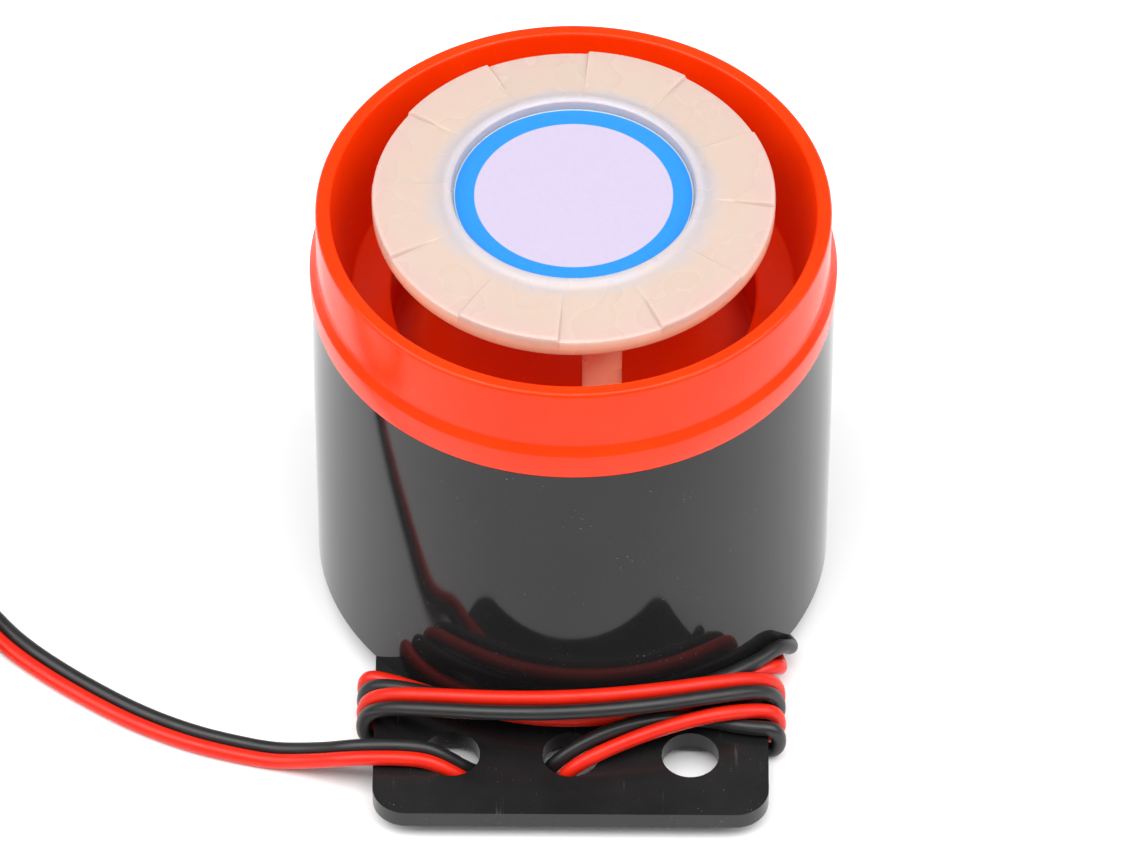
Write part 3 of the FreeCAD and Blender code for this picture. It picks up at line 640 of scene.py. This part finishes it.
# The bare ends: each strand runs on by itself, and its wires are twisted and tinned.
for side, strand_line, finish, slot in (
    ("red", red_line, RED_PVC, "lead_red"), ("black", black_line, BLACK_PVC, "lead_black"),
):
    beside = [on_floor(COIL_MIDDLE[0] + x, COIL_MIDDLE[1] + y, STRAND + 0.02) for x, y in TAILS[side]]
    route = [strand_line[-4] / MM, strand_line[-1] / MM, *beside]
    tail_line = followed(route)
    vertices, faces, _ = tube_mesh([tail_line], [STRAND * MM])
    tail = mesh_piece(f"tail_{side}", vertices, faces, (finish,), None, 60)
    finished(tail, "casing", slot, f"cord_tail_{side}")
    tip_end = on_floor(COIL_MIDDLE[0] + TIPS[side][0], COIL_MIDDLE[1] + TIPS[side][1], 0.4)
    middle = (beside[-1] + tip_end) / 2 + Vector((0.15, 0.2, 0))
    wire_line = followed([(beside[-1] * 0.9 + beside[-2] * 0.1), beside[-1], middle, tip_end], 10)
    wires, wire_radius = [], 0.13 * MM
    for w in range(7):
        wire = []
        for i, point in enumerate(wire_line):
            ahead = (wire_line[min(i + 1, len(wire_line) - 1)] - wire_line[max(i - 1, 0)]).normalized()
            out = ahead.orthogonal().normalized()
            a = 2 * math.pi * (w / 6 + 0.035 * i)
            off = 0.0 if w == 6 else 0.26 * MM
            wire.append(point + (out * math.cos(a) + ahead.cross(out) * math.sin(a)) * off)
        wires.append(wire)
    vertices, faces, _ = tube_mesh(wires, [wire_radius] * 7, 8)
    tip = mesh_piece(f"tip_{side}", vertices, faces, (TINNED,), None, 60)
    finished(tip, "casing", "tinned_metal", f"cord_tip_{side}")

# The tie: a flat strip round the coil's section, its two ends twisted together outside.
TIE_ANGLE, TIE_WIDE, TIE_THICK = 190, 2.4, 0.32
across = Vector((math.cos(math.radians(TIE_ANGLE)), math.sin(math.radians(TIE_ANGLE)), 0))
across = (across - FLOOR_NORMAL * across.dot(FLOOR_NORMAL)).normalized()
along = FLOOR_NORMAL.cross(across)
tie_middle = on_floor(COIL_MIDDLE[0], COIL_MIDDLE[1], 0)
loop = rounded([(11.75, 0.22, 1.3), (17.35, 0.22, 1.3), (17.35, 4.75, 1.3), (11.75, 4.75, 1.3)], 6)
vertices, faces = [], []
for point, before, after in zip(loop, loop[-1:] + loop[:-1], loop[1:] + loop[:1]):
    way = (after - before).normalized()
    out = across * way.y - FLOOR_NORMAL * way.x
    here = tie_middle + across * point.x + FLOOR_NORMAL * point.y
    for wide, thick in ((-0.5, -0.3), (-0.42, -0.5), (0.42, -0.5), (0.5, -0.3), (0.5, 0.3), (0.42, 0.5),
                        (-0.42, 0.5), (-0.5, 0.3)):
        vertices.append((here + along * wide * TIE_WIDE + out * thick * TIE_THICK) * MM)
for i in range(len(loop)):
    for k in range(8):
        j, up = (i + 1) % len(loop), (k + 1) % 8
        faces.append((i * 8 + k, j * 8 + k, j * 8 + up, i * 8 + up))
twist = []
for w in range(2):
    line = []
    for i in range(25):
        a = math.pi * w + 2 * math.pi * 2.5 * i / 24
        spot = tie_middle + across * (17.3 + 0.22 * i) + FLOOR_NORMAL * (3.3 - 0.09 * i)
        line.append((spot + (along * math.cos(a) + FLOOR_NORMAL * math.sin(a)) * 0.42) * MM)
    twist.append(line)
twist_vertices, twist_faces, _ = tube_mesh(twist, [0.38 * MM] * 2, 10)
faces += [tuple(v + len(vertices) for v in face) for face in twist_faces]
tie = mesh_piece("coil_tie", vertices + twist_vertices, faces, (TIE,), None, 50)
finished(tie, "casing", "tie_plastic", "cord_tie")

# ---------------------------------------------------------------- horn

# Corners of the ring's outline: radius, height and rounding, inside first
HORN = [
    (20.92, 41.26, 0.42), (19.72, 41.26, 0.32), (18.1, 31.56, 0.3), (14.9, 31.56, 0.22), (14.9, 26.0, 0.35),
    (2.15, 26.0, 0.2), (2.15, 23.4, 0), (11.6, 23.4, 0), (11.6, 22.6, 0), (17.4, 22.6, 0),
    (17.4, 29.96, 0), (18.0, 29.96, 0), (18.0, 27.0, 0), (19.75, 27.0, 0.2), (19.75, 32.16, 0),
    (21.44, 32.16, 0.14), (21.5, 34.66, 0.3), (20.92, 35.41, 0.45),
]
horn_outline = rounded(HORN)
vertices, faces = turned([k * 1.5 for k in range(240)], lambda angle: horn_outline)
horn = mesh_piece("horn_shell", vertices, faces, (ORANGE,), None, 40)
finished(horn, "casing", "orange_abs", "horn_ring")

# ---------------------------------------------------------------- diffuser

DISH_TOP, DISH_SIDE, STEP = 42.54, 1.65, 0.30
SECTOR_START = -4
STEP_SOFT = 0.28  # degrees that a step's slope takes to each side
FADE_FROM, FADE_TO = 11.3, 14.6
POST_ANGLES = (49, 153, 281)


def raised(angle):
    """1 on a raised sector, 0 on a plain one, and between them across a step's slope."""
    around = (angle - SECTOR_START) % 60
    from_edge = min(abs(around - 30), around, 60 - around)
    half = 0.5 * min(1.0, from_edge / STEP_SOFT)
    return 0.5 + half if around < 30 else 0.5 - half


def dish_outline(angle):
    lift = STEP * raised(angle)
    soft = 0.06 * math.sin(math.radians(3 * angle + 20))
    top = [
        (0, 42.45), (9.62, 42.45), (9.78, 42.52), (9.82, 42.95), (9.90, 43.24), (10.06, 43.38),
        (10.26, 43.42), (10.48, 43.38), (10.72, 43.24), (11.0, 43.10), (11.3, 43.02),
    ]
    points = [Vector(p) for p in top]
    for r in (11.7, 12.2, 12.8, 13.5, 14.3, 15.0, 15.5, 15.85):
        share = (r - FADE_FROM) / (15.85 - FADE_FROM)
        fade = min(1.0, (r - FADE_FROM) / (FADE_TO - FADE_FROM))
        level = 43.02 + (DISH_TOP - 43.02) * share + lift * fade * (0.6 + 0.4 * share)
        points.append(Vector((r, level + soft * 0.3 * share)))
    edge = DISH_TOP + lift
    low = DISH_TOP - DISH_SIDE
    points += [
        Vector(p) for p in (
            (16.08, edge - 0.02), (16.24, edge - 0.10), (16.32, edge - 0.26), (16.30, low + 0.35),
            (16.22, low + 0.12), (16.02, low), (15.0, low), (8.9, low), (8.55, low - 0.12), (8.3, low - 0.45),
            (0.9, 33.9), (0.4, 33.45), (0, 33.3),
        )
    ]
    return points


angles = set()
for k in range(144):
    angles.add(round(SECTOR_START + 2.5 * k, 3))
for k in range(12):
    for off in (-0.6, -STEP_SOFT, -STEP_SOFT / 2, STEP_SOFT / 2, STEP_SOFT, 0.6):
        angles.add(round(SECTOR_START + 30 * k + off, 3))
vertices, faces = turned(sorted(angles), dish_outline, closed=False)
for angle in POST_ANGLES:
    a = math.radians(angle)
    centre = Vector((12.4 * math.cos(a), 12.4 * math.sin(a)))
    profile = [(0, 41.2), (1.9, 41.2), (1.9, 40.86), (1.66, 40.55), (1.60, 36.0), (1.62, 26.3), (1.75, 26.02),
               (1.0, 26.0), (1.0, 24.5), (0.8, 24.4), (0, 24.4)]
    base = len(vertices)
    post_vertices, post_faces = turned([k * 15 for k in range(24)], lambda _: profile, closed=False)
    vertices += [v + Vector((centre.x, centre.y, 0)) * MM for v in post_vertices]
    faces += [tuple(v + base for v in face) for face in post_faces]
dish = welded(mesh_piece("diffuser_disc", vertices, faces, (MILKY,), None, 30))
dish.data.set_sharp_from_angle(angle=math.radians(30))
finished(dish, "casing", "milky_plastic", "diffuser")

# ---------------------------------------------------------------- floor and light

floor_size = 1.5
floor_points = [
    (x, y, floor_level(y / MM) * MM) for x in (-floor_size, floor_size) for y in (-floor_size, floor_size)
]
floor_material, tree, surface = shader("pale_floor", (0.95, 0.95, 0.95), 0.85)
tree.links.new(
    mix(tree, noise(tree, 40.0), (0.94, 0.94, 0.94), (0.96, 0.96, 0.96)), surface.inputs["Base Color"]
)
floor = mesh_piece("floor", floor_points, [(0, 2, 3, 1)], (floor_material,))

world = bpy.data.worlds.new("studio")
scene.world = world
world.use_nodes = True
world.node_tree.nodes["Background"].inputs["Color"].default_value = (1, 1, 1, 1)
world.node_tree.nodes["Background"].inputs["Strength"].default_value = 0.36


def soft_light(name, place, size, power, target=(0, 0, 0.02)):
    data = bpy.data.lights.new(name, "AREA")
    data.shape = "RECTANGLE"
    data.size, data.size_y = size
    data.energy = power
    light = bpy.data.objects.new(name, data)
    light.location = place
    light.rotation_mode = "QUATERNION"
    light.rotation_quaternion = (Vector(target) - Vector(place)).to_track_quat("-Z", "Y")
    scene.collection.objects.link(light)
    return light


soft_light("left_box", (-0.65, -0.2, 0.75), (0.8, 0.8), 6.5)
soft_light("right_box", (0.65, -0.2, 0.75), (0.8, 0.8), 6.5)
soft_light("top_box", (0.0, -0.25, 1.0), (0.9, 0.7), 7.5)
